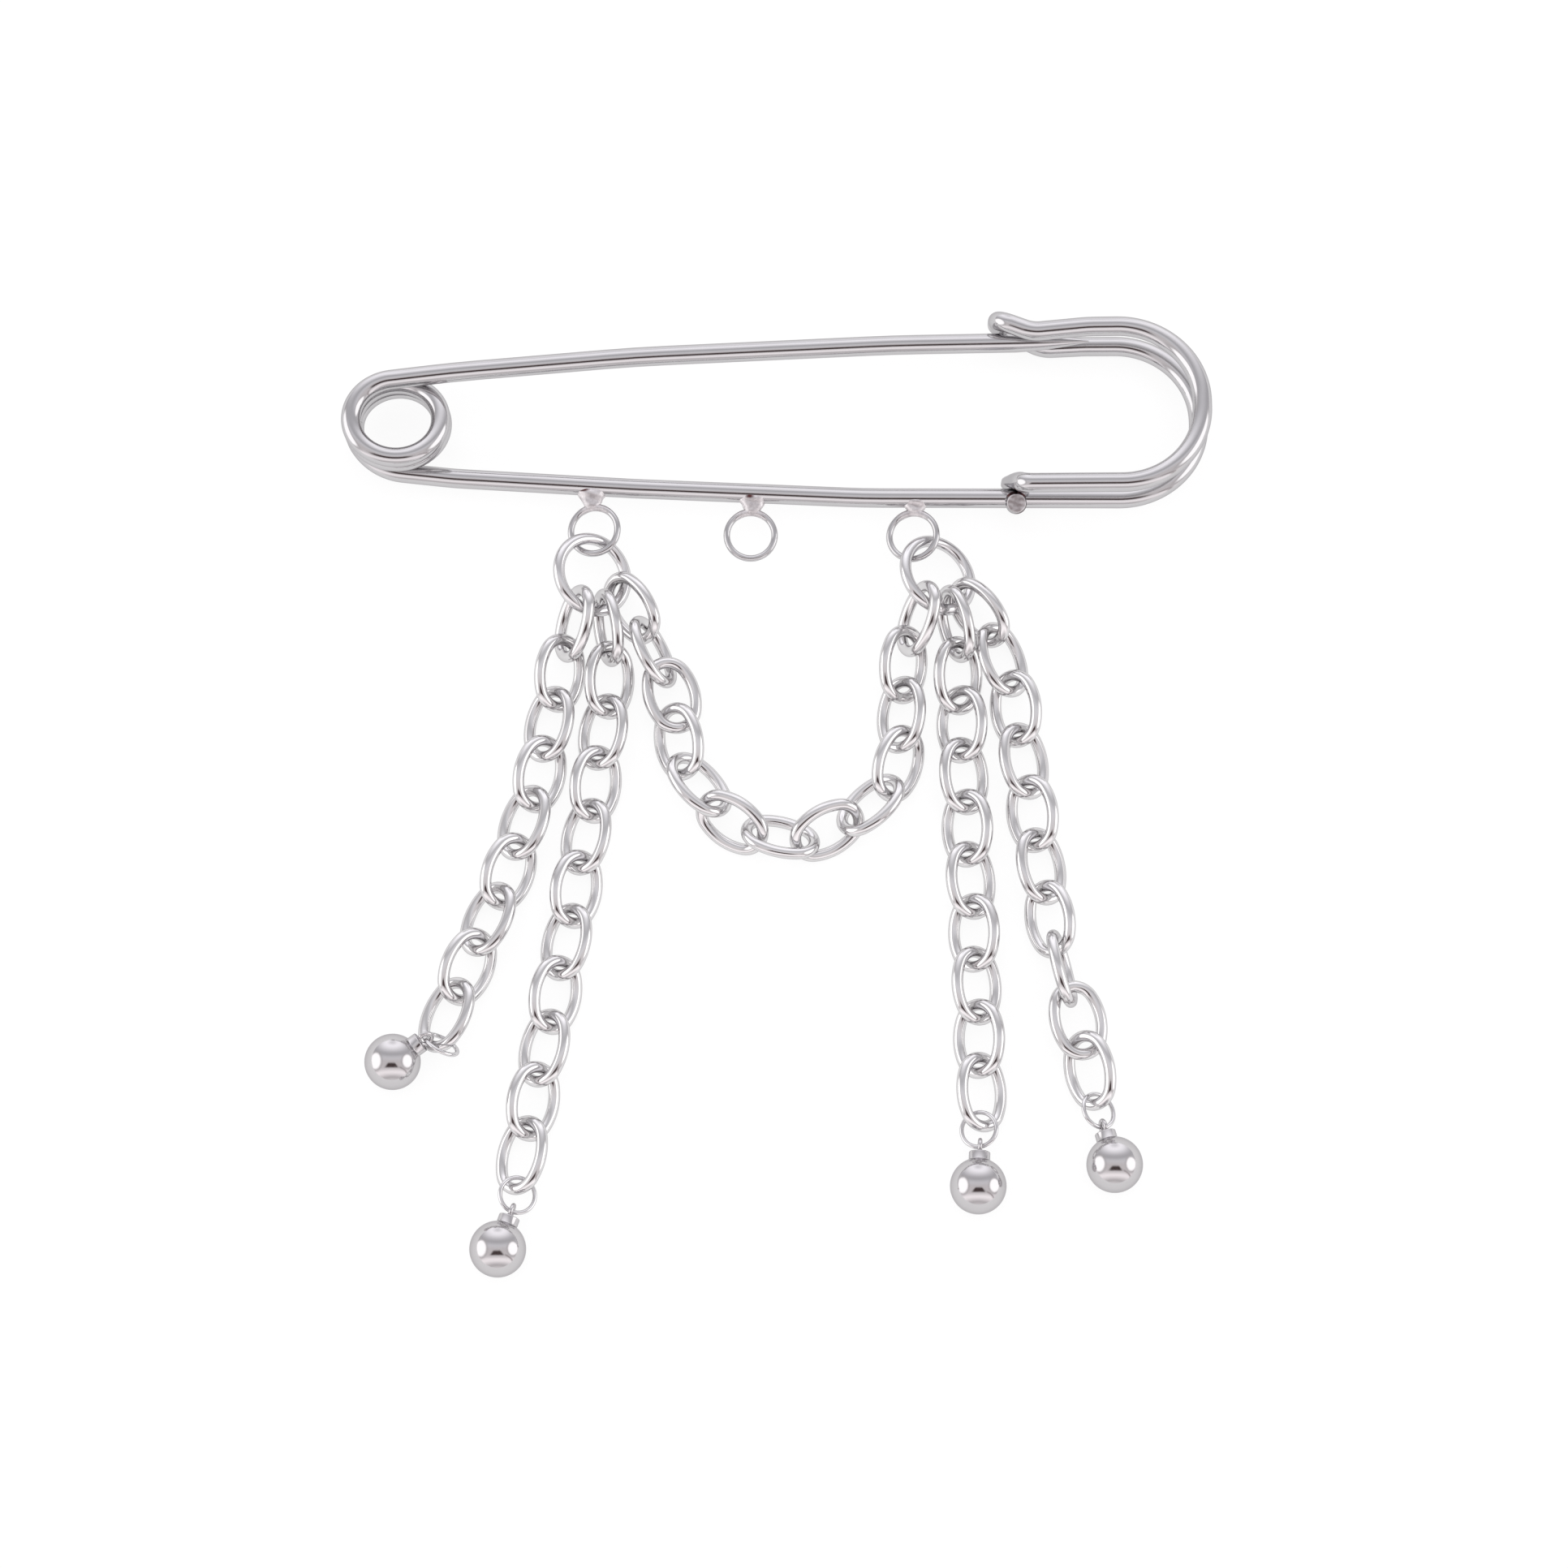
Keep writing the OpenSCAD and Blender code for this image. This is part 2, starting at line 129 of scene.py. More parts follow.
# Lying pieces: x, y, z, direction, rise, roll
JUMP_ROWS = {
    "ring_left": ("jump_ring_left", (-12.7, 15.1, 2.2, -92, 4, -30)),
    "ring_right": ("jump_ring_right", (11.1, 15.1, 2.05, -62, -4, -32)),
}
CHAINS = {
    "outer_left": dict(
        start=[(-13.9, 11.65, 2.05, -106, -19, 53), (-14.9, 8.3, 1.4, -97, -5, -36)],
        route=[(-15.6, 4.7), (-16.2, 1.2), (-18.3, -5.8), (-22.3, -15.6)], links=7),
    "inner_left": dict(
        start=[(-11.6, 11.4, 1.9, -80, -3, 68), (-11.5, 7.8, 1.4, -94, -3, -36)],
        route=[(-11.9, 4.15), (-12.4, 0.3), (-14.3, -10.8), (-17.1, -25.2)], links=9),
    "swag": dict(
        start=[(-10, 12.9, 1.55, -57, 4, 45), (-8.5, 9.7, 1.8, -65, -5, -60),
               (-7.2, 6.7, 1.5, -74, -3, -10), (-6.7, 3.45, 1.4, -78, 1, 37)],
        route=[(-5.3, 0.4), (-2.9, -2.4), (1.8, -3.7), (6.3, -1.2), (8.3, 1.8), (8.55, 5.35)],
        links=7, roll=-SWAG_ROLL,
        end=[(8.7, 8.9, 1.45, 84, 6, 38), (9.75, 11.95, 2.25, 68, 25, -52)]),
    "inner_right": dict(
        start=[(12.3, 11.65, 2, -76, -6, 64), (12.45, 8.1, 1.45, -92, -5, -35)],
        route=[(12.7, 4.7), (12.8, 1.1), (13.4, -10), (13.8, -20.9)], links=8),
    "outer_right": dict(
        start=[(13.9, 12.55, 1.65, -51, 2, 50), (15.5, 9.25, 1.4, -72, -3, -37)],
        route=[(16.4, 5.8), (16.9, 2.1), (18, -5.3)], links=4,
        end=[(18.55, -9, 1.45, -79, 5, 39), (19.3, -12.55, 1.95, -77, 0, -75),
             (20.35, -16.05, 1.6, -78, -3, -12), (21.1, -19.45, 1.45, -78, -2, 39)]),
}
DROPS = {
    "outer_left": dict(ring=(-22.6, -17.75, 1.85, -31, -2, -61), ball=(-25.85, -18.95, 34, 10, 55)),
    "inner_left": dict(ring=(-17.35, -27.95, 1.5, -96, 5, -17), ball=(-18.6, -31.65, 71, -5, 88)),
    "inner_right": dict(ring=(13.6, -23.5, 1.5, -90, 7, 16), ball=(13.5, -27.4, 87, -5, -90)),
    "outer_right": dict(ring=(21.65, -22.2, 1.4, -74, 5, -33), ball=(22.65, -25.95, 105, -8, 106)),
}
COLLAR_TOP, EYE_REACH = BALL_D / 2 + 0.45, BALL_D / 2 + 0.82

# The scene's own. The wire is pressed flat over the bar at the wrap: heights where that starts, is
# full, is full still and ends; reach along the bar, and least distance from the bar's line; how far
# the wire moves in and along the bar, and the shares by which it gets thinner and wider
CRIMP_Z = (-1.3, -0.5, 1.2, 2.8)
CRIMP_REACH, CRIMP_CLEAR = 1, 0.05
CRIMP_IN, CRIMP_SHIFT, CRIMP_THIN, CRIMP_WIDE = 0.24, 0.25, 0.36, 0.45
# Wire of the fixed body inside the arm's last turn: its reach and legs in degrees, and its share of
# the wire's radius
CORE_TURN, CORE_STEP, CORE_SHARE = 18, 3, 0.985
# Rim and face of the cut end: height over its length, share of the wire radius, dullness, and how
# much dark brown it gets: painted shade round the rim's top and lower right, darker patches on the
# face
CUT_SHAPE = [
    (-STUB_LEN, 1, 0, 0),
    (-0.7, 1, 0, 0),
    (-0.66, 1.08, 0, 1),
    (-0.5, 1.08, 0, 1),
    (-0.36, 1, 0, 1),
    (-0.1, 1, 0, 0.9),
    (-0.05, 0.98, 0, 0.3),
    (-0.01, 0.93, 0.6, 0.1),
    (0, 0.88, 1, 0.3),
    (-0.01, 0.74, 1, 0.5),
    (-0.03, 0.5, 1, 0.5),
    (-0.03, 0.2, 1, 0.4),
    (-0.02, 0.04, 1, 0.4),
]
# Painted shade round the cut end, dark brown over the rim's top and lower right: where it starts,
# how soon it is full, and how far the rim stands out under it on top; how fine the patches on the
# face are, and their place in the noise
CUT_SHADE_FROM, CUT_SHADE_GAIN, SHADED_RIM_BULGE = 0.25, 3, 0.16
PATCH_SCALE, PATCH_SEED = 4.5, 0.4
# Dark brown spots painted on the solder as the shade of its fillet: x and y from the solder's top,
# half width, half height; and how many times that far a spot fades out
FILLET_SHADE_SPOTS = [(-0.55, -0.42, 0.28, 0.1), (-0.2, -0.45, 0.22, 0.12), None]
SHADE_SPOT_REACH = 1.6
# How high the solder's lumps are, and how fine. Where solder creeps along a loop's wire: from which
# share of the loop's radius up, over how much of it that fades in, and how much thicker the wire is
SOLDER_LUMP, LUMP_SCALE = 0.06, 2.6
CREEP_FROM, CREEP_OVER, CREEP_SWELL = 0.72, 0.2, 0.12
# Radius of the collar's rim, and of the hollow between ball and collar; angle where the ball's
# surface starts beside its pole, and the rim's after the collar's side; radii of the collar's top,
# as a share of its side's, and of the small circle that closes it
RIM_R, HOLLOW_R = 0.07, 0.06
POLE_ANGLE, RIM_ANGLE, TOP_SHARE, TOP_END = 0.004, 0.3, 0.6, 0.02

# Link outline: two end arcs and two side arcs that meet without a corner
END_R = 1.4
HALF_L, HALF_W = (LINK_L - LINK_WIRE) / 2, (LINK_W - LINK_WIRE) / 2
END_X = HALF_L - END_R
SIDE_R = (END_X ** 2 + HALF_W ** 2 - END_R ** 2) / (2 * (HALF_W - END_R))
SIDE_Y = SIDE_R - HALF_W


def turn(angle, axis):
    return Matrix.Rotation(math.radians(angle), 4, axis)


def lay(row):
    """Places a lying piece by its row."""
    x, y, z, heading, rise, roll = row
    place = Matrix.Translation((x, y - MID_Y, z))
    return place @ turn(heading, "Z") @ turn(-rise, "Y") @ turn(roll, "X")


LAY_PIN = Matrix.Translation((0, BAR_Y - MID_Y, BAR_Z)) @ turn(-PIN_LEAN, "X")


def unit(v):
    return v / np.linalg.norm(v)


def corner(a, b, c, r):
    """Points along the corner at b between a and c, rounded to radius r."""
    u, v = unit(a - b), unit(c - b)
    half = math.acos(float(u @ v)) / 2
    sweep = math.pi - 2 * half
    centre = b + unit(u + v) * r / math.sin(half)
    e1 = unit(b + u * r / math.tan(half) - centre)
    e2 = unit(-u - (-u @ e1) * e1)
    n = max(2, math.ceil(math.degrees(sweep) / CORNER_STEP))
    return [centre + r * (math.cos(t) * e1 + math.sin(t) * e2)
            for t in np.linspace(0, sweep, n + 1)]


def rounded(start, rows):
    """All points of a route after its start, with rounded corners, down to the last row's place."""
    p = [np.array(start, float)] + [np.array(row[:3], float) for row in rows]
    out = []
    for i in range(1, len(p) - 1):
        out += corner(p[i - 1], p[i], p[i + 1], rows[i - 1][3])
    return out + [p[-1]]


def coil_point(a):
    t = math.radians(a)
    return np.array((
        COIL_X + COIL_W / 2 * math.cos(t),
        COIL_Y + COIL_SHIFT * (a - ARM_ANGLE) / 360 + COIL_H / 2 * math.sin(t),
        COIL_FOOT + COIL_RISE * (BAR_ANGLE - a) / 360,
    ))


def filled(points, longest):
    """The same line with long legs divided, so that no leg is longer than asked."""
    out = [points[0]]
    for a, b in zip(points[:-1], points[1:]):
        n = max(1, math.ceil(np.linalg.norm(b - a) / longest))
        out += [a + (b - a) * k / n for k in range(1, n + 1)]
    return np.array(out)


class Skin:
    """Collects vertices, faces and two shares for each vertex, and makes one piece of them."""

    def __init__(self):
        self.verts, self.faces, self.dull, self.mark = [], [], [], []

    def add(self, verts, faces, dull, mark):
        base = len(self.verts)
        self.verts += [tuple(v) for v in verts]
        self.faces += [tuple(base + i for i in f) for f in faces]
        self.dull += list(np.broadcast_to(np.asarray(dull, float), (len(verts),)))
        self.mark += list(np.broadcast_to(np.asarray(mark, float), (len(verts),)))

    def rings(self, rings, closed, dull=0.0, mark=0.0):
        """Joins rings of points. The last ring joins the first if closed, else the ends are capped.
        The dull share is one number or one for each ring, the mark share one number or one for each
        point."""
        n, m = len(rings), len(rings[0])
        verts = np.concatenate(rings)
        faces = []
        for i in range(n if closed else n - 1):
            j = (i + 1) % n
            for k in range(m):
                q = (k + 1) % m
                faces.append((i * m + k, i * m + q, j * m + q, j * m + k))
        if not closed:
            faces.append(tuple(reversed(range(m))))
            faces.append(tuple((n - 1) * m + k for k in range(m)))
        if np.ndim(dull):
            dull = np.repeat(dull, m)
        self.add(verts, faces, dull, mark)

    def piece(self, name, material, body, replaces):
        mesh = bpy.data.meshes.new(name)
        mesh.from_pydata([tuple(c * MM for c in v) for v in self.verts], [], self.faces)
        mesh.validate()
        mesh.update()
        mesh.shade_smooth()
        for kind, values in (("dull", self.dull), ("mark", self.mark)):
            field = mesh.attributes.new(kind, "FLOAT", "POINT")
            field.data.foreach_set("value", np.array(values, np.float32))
        mesh.materials.append(material)
        obj = bpy.data.objects.new(name, mesh)
        bpy.context.scene.collection.objects.link(obj)
        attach(obj, body)
        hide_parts(*replaces)


def wire_rings(points, radii, sides, closed=False):
    """Rings of points round a line, carried along it without twist."""
    p = np.asarray(points, float)
    if closed:
        t = np.roll(p, -1, 0) - np.roll(p, 1, 0)
    else:
        t = np.gradient(p, axis=0)
    t /= np.linalg.norm(t, axis=1)[:, None]
    n = np.array((0.0, 0.0, 1.0))
    a = np.linspace(0, 2 * math.pi, sides, endpoint=False)
    out = []
    for i in range(len(p)):
        n = unit(n - (n @ t[i]) * t[i])
        b = np.cross(t[i], n)
        out.append(p[i] + radii[i] * (np.cos(a)[:, None] * n + np.sin(a)[:, None] * b))
    return out


def moved(matrix, rings):
    m = np.array(matrix)
    return [r @ m[:3, :3].T + m[:3, 3] for r in rings]


def circle(r, n, x=0.0):
    a = np.linspace(0, 2 * math.pi, n, endpoint=False)
    return np.stack([x + r * np.cos(a), r * np.sin(a), 0 * a], 1)


def smooth_table(rows, n):
    """More rows of a short table, with rounded changes between them."""
    rows = np.array(rows, float)
    x = np.linspace(0, len(rows) - 1, n)
    fine = np.stack([np.interp(x, range(len(rows)), rows[:, k]) for k in range(rows.shape[1])], 1)
    for _ in range(3):
        fine[1:-1] = (fine[:-2] + 2 * fine[1:-1] + fine[2:]) / 4
    return fine


# ---- materials
def node(tree, kind, **values):
    n = tree.nodes.new(kind)
    for key, value in values.items():
        if key in n.inputs:
            n.inputs[key].default_value = value
        else:
            setattr(n, key, value)
    return n


EDGE_TINT = (0.66, 0.65, 0.66, 1)
DULL_DARK, DULL_PALE, DULL_ROUGH = (0.5, 0.47, 0.48), (0.78, 0.75, 0.76), 0.4
# Dark brown of the mark share: painted shade round the cut end and on the solder, darker patches on
# the cut face
MARK_BROWN = (0.09, 0.03, 0.03)
# How bright worn places are, as a share; scale and detail of the noises for wear, grain and
# blotches, their roughness, and between which of their values colours and roughnesses change
WORN = 0.97
WEAR, GRAIN, BLOTCH, NOISE_ROUGH = (700.0, 4.0), (9000.0, 3.0), (2600.0, 4.0), 0.6
COLOUR_FROM_TO, ROUGH_FROM_TO = (0.3, 0.7), (0.3, 0.75)
# Bumps, strength and height in metres: of dull places, and of all metal
DULL_BUMP, FINE_BUMP = (0.45, 0.00008), (0.12, 0.000004)


def metal(name, colour, polished, worn):
    """Silver with the roughness of polished and of worn places given, matte grey where it is dull,
    and dark brown where it is marked: painted shade at the cut end and the solder, patches on the
    cut face."""
    mat = bpy.data.materials.new(name)
    mat.use_nodes = True
    tree = mat.node_tree
    tree.nodes.clear()
    link = tree.links.new
    out = node(tree, "ShaderNodeOutputMaterial")
    shader = node(tree, "ShaderNodeBsdfPrincipled")
    shader.inputs["Metallic"].default_value = 1.0
    shader.inputs["Specular Tint"].default_value = EDGE_TINT
    link(shader.outputs[0], out.inputs["Surface"])
    place = node(tree, "ShaderNodeTexCoord")

    def noise(scale, detail):
        n = node(tree, "ShaderNodeTexNoise", Scale=scale, Detail=detail, Roughness=NOISE_ROUGH)
        link(place.outputs["Object"], n.inputs["Vector"])
        return n.outputs["Fac"]

    def spread(value, low, high, to_low, to_high):
        n = node(tree, "ShaderNodeMapRange")
        ends = {"From Min": low, "From Max": high, "To Min": to_low, "To Max": to_high}
        for key, v in ends.items():
            n.inputs[key].default_value = v
        link(value, n.inputs["Value"])
        return n.outputs["Result"]

    def mixed(kind, share, a, b):
        n = node(tree, "ShaderNodeMix", data_type=kind)
        link(share, n.inputs["Factor"])
        for key, v in (("A", a), ("B", b)):
            socket = [i for i in n.inputs if i.name == key and i.enabled][0]
            if isinstance(v, (int, float, tuple)):
                socket.default_value = (*v, 1) if isinstance(v, tuple) else v
            else:
                link(v, socket)
        return [o for o in n.outputs if o.enabled][0]

    def share(kind):
        return node(tree, "ShaderNodeAttribute", attribute_name=kind).outputs["Fac"]

    wear, grain, blotch = noise(*WEAR), noise(*GRAIN), noise(*BLOTCH)
    faded = tuple(WORN * c for c in colour)
    bright = mixed("RGBA", spread(wear, *COLOUR_FROM_TO, 0, 1), faded, colour)
    matte = mixed("RGBA", spread(blotch, *COLOUR_FROM_TO, 0, 1), DULL_DARK, DULL_PALE)
    base = mixed("RGBA", share("dull"), bright, matte)
    # The mark share paints shade at the cut end and the solder, and the cut face's patches
    base = mixed("RGBA", share("mark"), base, MARK_BROWN)
    link(base, shader.inputs["Base Color"])
    shiny = spread(wear, *ROUGH_FROM_TO, polished, worn)
    rough = mixed("FLOAT", share("dull"), shiny, DULL_ROUGH)
    link(rough, shader.inputs["Roughness"])

    height = node(tree, "ShaderNodeMath", operation="MULTIPLY")
    link(share("dull"), height.inputs[0])
    link(blotch, height.inputs[1])
    bump = node(tree, "ShaderNodeBump", Strength=DULL_BUMP[0], Distance=DULL_BUMP[1])
    link(height.outputs[0], bump.inputs["Height"])
    fine = node(tree, "ShaderNodeBump", Strength=FINE_BUMP[0], Distance=FINE_BUMP[1])
    link(grain, fine.inputs["Height"])
    link(bump.outputs["Normal"], fine.inputs["Normal"])
    link(fine.outputs["Normal"], shader.inputs["Normal"])
    return mat


PIN_METAL = metal("pin_silver", (0.57, 0.56, 0.57), 0.09, 0.15)
RING_METAL = metal("ring_silver", (0.70, 0.69, 0.70), 0.09, 0.15)
CHAIN_METAL = metal("chain_silver", (0.70, 0.69, 0.695), 0.08, 0.14)
BALL_METAL = metal("ball_silver", (0.585, 0.57, 0.58), 0.1, 0.15)


# ---- pin
def point_noise(p, scale, seed):
    """A smooth value from -1 to 1 at each point, the same on every run."""
    q = np.asarray(p, float) * scale + seed
    return (np.sin(q[:, 0] * 2.1 + 1.3 * np.sin(q[:, 1] * 1.7)) * np.cos(q[:, 2] * 1.9 + q[:, 1])
            + np.sin(q[:, 1] * 3.3 + q[:, 2] * 2.7 + q[:, 0])) / 2


def crimped(line, rings):
    """Presses the wire flat where it passes over the bar's top at the wrap."""
    out = []
    for c, ring in zip(line, rings):
        near = abs(c[0] - WRAP_X) < CRIMP_REACH and abs(c[1] - WRAP_Y) > CRIMP_CLEAR
        flat = np.interp(c[2], CRIMP_Z, (0, 1, 1, 0)) * near
        away = np.array([0, c[1] - WRAP_Y, c[2]])
        away /= np.linalg.norm(away)
        off = ring - c
        high = (off @ away)[:, None] * away
        wide = off * [1, 0, 0]
        pressed = c - away * CRIMP_IN + [-CRIMP_SHIFT, 0, 0]
        pressed = pressed + off - CRIMP_THIN * high + CRIMP_WIDE * wide
        out.append(ring + flat * (pressed - ring))
    return out


def frame_wire(skin):
    turns = [coil_point(a) for a in np.arange(SPLIT_ANGLE, BAR_ANGLE + 0.1, TURN_STEP)]
    line = filled(turns + rounded(turns[-1], BAR_ROUTE), LONGEST_LEG)
    # The wrap starts on the catch's front run, where that comes back to the left below the bar
    wrap = int(np.argmax(np.abs(line[:, 2] - CATCH_DEPTH) < 0.001))
    wrap = wrap + int(np.argmax(line[wrap:, 1] < 0))
    wrap = wrap + int(np.argmax(line[wrap:, 0] < WRAP_X + CRIMP_REACH))
    line = np.concatenate([line[:wrap], filled(list(line[wrap:]), CRIMP_LEG)])
    rings = wire_rings(line, np.full(len(line), WIRE_R), PIN_SIDES)
    rings[wrap:] = crimped(line[wrap:], rings[wrap:])
    skin.rings(moved(LAY_PIN, rings), False)
    # Wire inside the arm's last turn fills the coil where it opens when the arm is pressed in
    angles = np.arange(SPLIT_ANGLE - CORE_TURN, SPLIT_ANGLE + CORE_STEP, CORE_STEP)
    core = np.array([coil_point(a) for a in angles])
    rings = wire_rings(core, np.full(len(core), WIRE_R * CORE_SHARE), PIN_SIDES)
    skin.rings(moved(LAY_PIN, rings), False)


def cut_end(skin):
    """The round cut end at the wrap: a worn rim with painted shade over its top and lower right,
    and a face that is a little hollow and dull.
    """
    place = LAY_PIN @ Matrix.Translation((WRAP_X - WRAP_SHIFT, STUB_Y, 0)) @ turn(STUB_LEAN, "X")
    rings, share, mark = [], [], []
    for height, radius, dull, brown in CUT_SHAPE:
        ring = circle(WIRE_R * radius, CUT_SIDES)
        ring[:, 2] = STUB_LEN + height
        # Painted shade of the crevice shows dark brown over the top and at the lower right of the
        # rim;
        # the face gets patches of darker tone
        top = np.clip(CUT_SHADE_GAIN * (ring[:, 1] - CUT_SHADE_FROM) / WIRE_R, 0, 1)
        slant = 0.5 * (ring[:, 0] - ring[:, 1])
        right = np.clip(CUT_SHADE_GAIN * (slant - CUT_SHADE_FROM) / WIRE_R, 0, 1)
        patches = np.clip(0.5 + point_noise(ring, PATCH_SCALE, PATCH_SEED), 0, 1)
        if radius > 1:
            ring[:, :2] *= 1 + SHADED_RIM_BULGE * top[:, None]
        # Dark brown painted shade on the rim, random patches on the face
        mark.append(brown * (np.maximum(top, right) if radius >= 1 else patches))
        rings.append(ring)
        share.append(dull)
    skin.rings(moved(place, rings), False, share, np.concatenate(mark))


def solder_drop(skin, row, shade_spot):
    x, y, _, _, bar_y, shift = row
    height = bar_y - y - (LOOP_D - LOOP_WIRE) / 2
    rings = []
    a = np.linspace(0, 2 * math.pi, SOLDER_SIDES, endpoint=False)
    for share, half_x, half_z in smooth_table(SOLDER_SHAPE, SOLDER_STEPS):
        ring = np.stack([half_x * np.cos(a), 0 * a - share * height, half_z * np.sin(a)], 1)
        lump = 1 + SOLDER_LUMP * point_noise(ring + [x, 0, 0], LUMP_SCALE, x)
        ring[:, 0] *= lump
        ring[:, 2] *= lump
        rings.append(ring + [x + shift, bar_y, 0])
    points = np.concatenate(rings) - [x + shift, bar_y, 0]
    mark = np.zeros(len(points))
    # Painted shade: a dark brown spot on the solder's front where its fillet is shaded
    if shade_spot:
        far = np.hypot((points[:, 0] - shade_spot[0]) / shade_spot[2], (points[:, 1] - shade_spot[1]) / shade_spot[3])
        mark = np.clip(SHADE_SPOT_REACH - far, 0, 1) * (points[:, 2] > 0)
    skin.rings(moved(LAY_PIN, rings), False, 1.0, mark)


def solder_loops(skin):
    for row, shade_spot in zip(LOOP_ROWS, FILLET_SHADE_SPOTS):
        x, y, z, twist, _, _ = row
        loop_r = (LOOP_D - LOOP_WIRE) / 2
        line = circle(loop_r, RING_POINTS)
        place = LAY_PIN @ Matrix.Translation((x, y, z)) @ turn(PIN_LEAN, "X") @ turn(-twist, "Y")
        # The solder creeps a little way along the loop's wire from the top
        up = line[:, 1] / loop_r
        share = np.clip((up - CREEP_FROM) / CREEP_OVER, 0, 1)
        radii = LOOP_WIRE / 2 * (1 + CREEP_SWELL * share)
        skin.rings(moved(place, wire_rings(line, radii, LOOP_SIDES, closed=True)), True, share)
        solder_drop(skin, row, shade_spot)


pin = Skin()
frame_wire(pin)
cut_end(pin)
solder_loops(pin)
pin.piece("pin_wire", PIN_METAL, "pin_body", ["frame"])


def arm_wire(skin):
    turns = [coil_point(a) for a in np.arange(SPLIT_ANGLE, ARM_ANGLE - 0.1, -TURN_STEP)]
    run = rounded(turns[-1], ARM_ROUTE)
    back = unit(np.array(ARM_ROUTE[3][:3]) - np.array(ARM_TIP))
    shape = smooth_table(POINT_SHAPE, POINT_STEPS)
    body = filled(turns + run[:-1] + [np.array(ARM_TIP) + back * POINT_LEN], LONGEST_LEG)
    point = np.array([np.array(ARM_TIP) + back * POINT_LEN * s for s, _ in shape])
    line = np.concatenate([body[:-1], point])
    radii = np.concatenate([np.full(len(body) - 1, WIRE_R), WIRE_R * shape[:, 1]])
    skin.rings(moved(LAY_PIN, wire_rings(line, radii, PIN_SIDES)), False)


arm = Skin()
arm_wire(arm)
arm.piece("pin_arm_wire", PIN_METAL, "arm", ["pin_arm"])


# ---- rings and chains
def loop_of_wire(skin, row, line, wire, sides):
    radii = np.full(len(line), wire / 2)
    skin.rings(moved(lay(row), wire_rings(line, radii, sides, closed=True)), True)


for name, (stands_for, row) in JUMP_ROWS.items():
    jump = Skin()
    loop_of_wire(jump, row, circle((JUMP_D - JUMP_WIRE) / 2, JUMP_POINTS), JUMP_WIRE, RING_SIDES)
    jump.piece(name, RING_METAL, "pin_body", [stands_for])


def link_line():
    """Points along the middle of a link's wire."""
    phi = math.atan2(SIDE_Y, END_X)
    arcs = [
        ((END_X, 0), END_R, -phi, phi, END_POINTS),
        ((0, -SIDE_Y), SIDE_R, phi, math.pi - phi, SIDE_POINTS),
        ((-END_X, 0), END_R, math.pi - phi, math.pi + phi, END_POINTS),
        ((0, SIDE_Y), SIDE_R, math.pi + phi, 2 * math.pi - phi, SIDE_POINTS),
    ]
    line = []
    for (cx, cy), r, a, b, n in arcs:
        for t in np.linspace(a, b, n, endpoint=False):
            line.append((cx + r * math.cos(t), cy + r * math.sin(t), 0))
    return np.array(line)


def route_point(route, s):
    """The point that is s along the route."""
    for a, b in zip(route[:-1], route[1:]):
        d = math.dist(a, b)
        if s <= d or b is route[-1]:
            return (a[0] + (b[0] - a[0]) * s / d, a[1] + (b[1] - a[1]) * s / d)
        s -= d


def even_links(route, links, roll):
    """Rows for links at even distances along the route, leaning to one side and then the other."""
    total = sum(math.dist(a, b) for a, b in zip(route[:-1], route[1:]))
    step = total / (links - 1)
    rows = []
    for i in range(links):
        c = route_point(route, i * step)
        a = route_point(route, max(0, (i - 0.5) * step))
        b = route_point(route, min(total, (i + 0.5) * step))
        z = HALF_W * math.sin(math.radians(abs(roll))) + LINK_WIRE / 2
        heading = math.degrees(math.atan2(b[1] - a[1], b[0] - a[0]))
        rows.append((c[0], c[1], z, heading, 0, roll if i % 2 == 0 else -roll))
    return rows


LINE = link_line()
for name, chain in CHAINS.items():
    links = Skin()
    rows = chain["start"] + even_links(chain["route"], chain["links"], chain.get("roll", LINK_ROLL))
    for row in rows + chain.get("end", []):
        loop_of_wire(links, row, LINE, LINK_WIRE, LINK_SIDES)
    links.piece("links_" + name, CHAIN_METAL, "pin_body", ["chain_" + name])


# ---- small rings and balls
def ball_profile():
    """Distance along the drop and radius, from the ball's far pole to the top of its collar."""
    r, c = BALL_D / 2, COLLAR_D / 2
    meet = math.asin((c + HOLLOW_R) / r)
    rows = [(-r * math.cos(t), r * math.sin(t))
            for t in np.linspace(POLE_ANGLE, math.pi - meet, BALL_STEPS)]
    x = r * math.cos(meet)
    rows += [(x + HOLLOW_R / 3, c + HOLLOW_R / 3), (x + HOLLOW_R, c)]
    rows += [(COLLAR_TOP - RIM_R, c)]
    rows += [(COLLAR_TOP - RIM_R + RIM_R * math.sin(t), c - RIM_R + RIM_R * math.cos(t))
             for t in np.linspace(RIM_ANGLE, math.pi / 2, RIM_STEPS)]
    rows += [(COLLAR_TOP, c * TOP_SHARE), (COLLAR_TOP, TOP_END)]
    return rows


